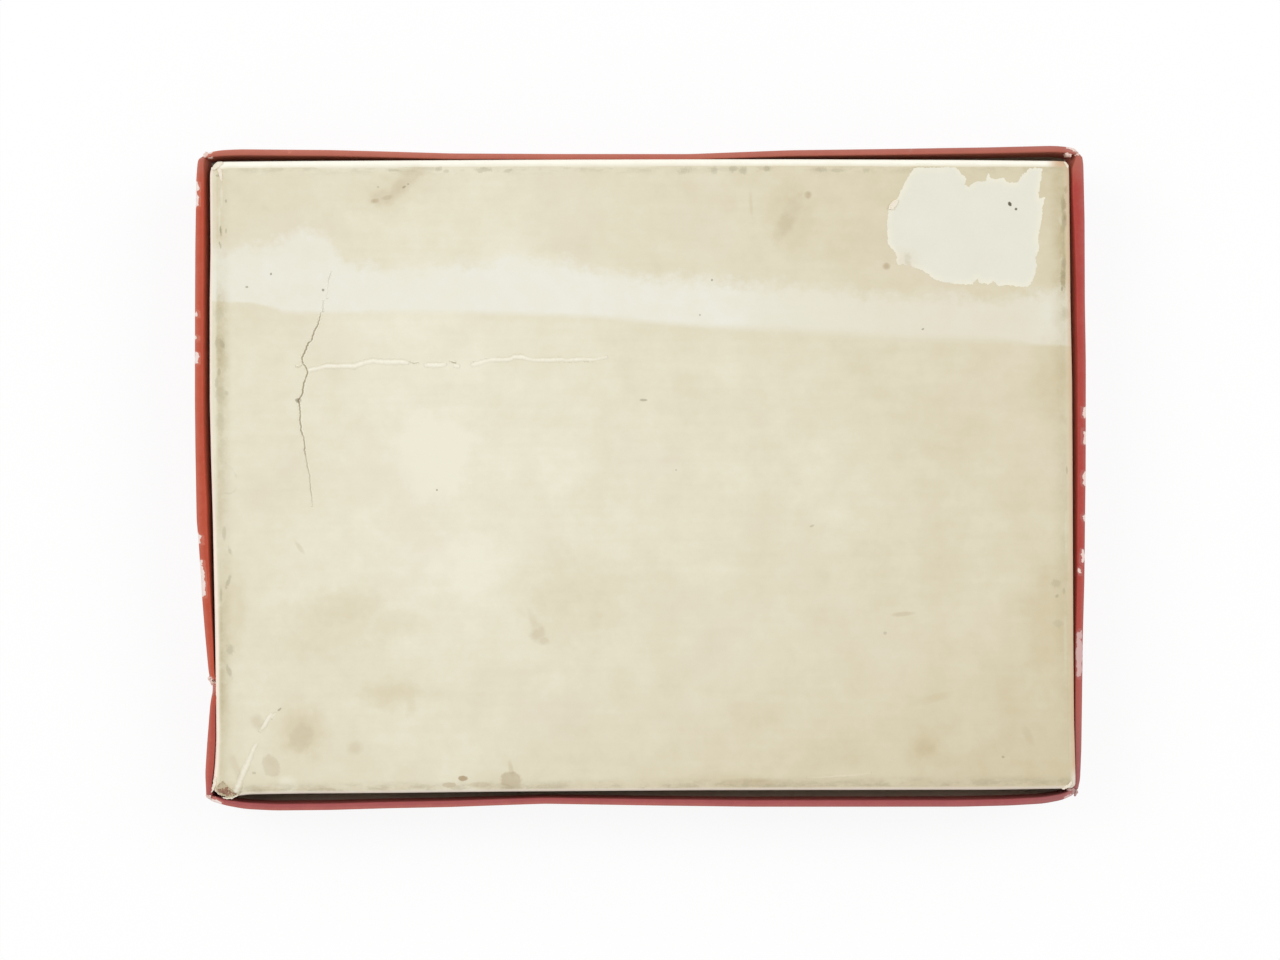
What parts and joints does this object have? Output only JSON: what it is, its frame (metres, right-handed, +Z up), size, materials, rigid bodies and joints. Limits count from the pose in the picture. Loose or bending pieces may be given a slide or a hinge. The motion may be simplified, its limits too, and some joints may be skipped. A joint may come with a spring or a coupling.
{
  "type": "game box",
  "caption": "Shallow telescoping cardboard game box lying on its red lid, with printed boards, small wooden ships, markers and dividers packed inside.",
  "frame": {"origin": "middle of the lid's outer face, on the surface the box lies on", "axes": "+X along the long side, +Y along the short side, +Z up, out of the tray's underside"},
  "size_m": [0.3612, 0.2672, 0.0404],
  "materials": {
    "red_paper": "worn satin print, chipped to white at folds",
    "lid_sheet_paper": "worn satin print",
    "cream_paper": "aged uncoated litho paper, stained",
    "tray_strip_paper": "aged uncoated paper, soiled along the folds",
    "stay_tape": "gummed brown paper",
    "chipboard": "raw grey-brown board",
    "rule_paper": "printed leaflet paper, aged",
    "screen_card": "blue-grey card with a matt face",
    "board_card": "raw board, sheet-mounted on one face",
    "grid_print": "matt printed sheet with square grids",
    "divider_card": "off-white card, raw cut edges",
    "ship_red_wood": "painted, worn at the edges",
    "ship_blue_wood": "painted, worn at the edges",
    "marker_red_wood": "painted, worn at the edges",
    "marker_white_wood": "painted, worn at the edges",
    "plain_wood": "sanded, unvarnished"
  },
  "bodies": {
    "lid": {"lid_board": "chipboard", "lid_corner_stays": "stay_tape", "lid_side_strip": "red_paper", "lid_top_sheet": "lid_sheet_paper", "rule_sheet": "rule_paper", "screen_panel": "screen_card", "playing_board_red": "board_card", "grid_sheet_red": "grid_print", "playing_board_blue": "board_card", "grid_sheet_blue": "grid_print", "red_carrier": "ship_red_wood", "red_battleship": "ship_red_wood", "red_cruiser": "ship_red_wood", "red_submarine": "ship_red_wood", "red_destroyer": "ship_red_wood", "blue_carrier": "ship_blue_wood", "blue_battleship": "ship_blue_wood", "blue_cruiser": "ship_blue_wood", "blue_submarine": "ship_blue_wood", "blue_destroyer": "ship_blue_wood", "hit_markers": "marker_red_wood", "miss_markers": "marker_white_wood", "screen_foot_left": "plain_wood", "screen_foot_right": "plain_wood"},
    "tray": {"tray_board": "chipboard", "tray_corner_stays": "stay_tape", "tray_side_strip": "tray_strip_paper", "tray_base_sheet": "cream_paper", "divider_long_near": "divider_card", "divider_long_far": "divider_card", "divider_cross": "divider_card"}
  },
  "joints": [
    {"name": "tray_lift", "type": "slide", "parent": "lid", "child": "tray", "axis": [0, 0, 1], "range_m": [0, 0.12]}
  ]
}
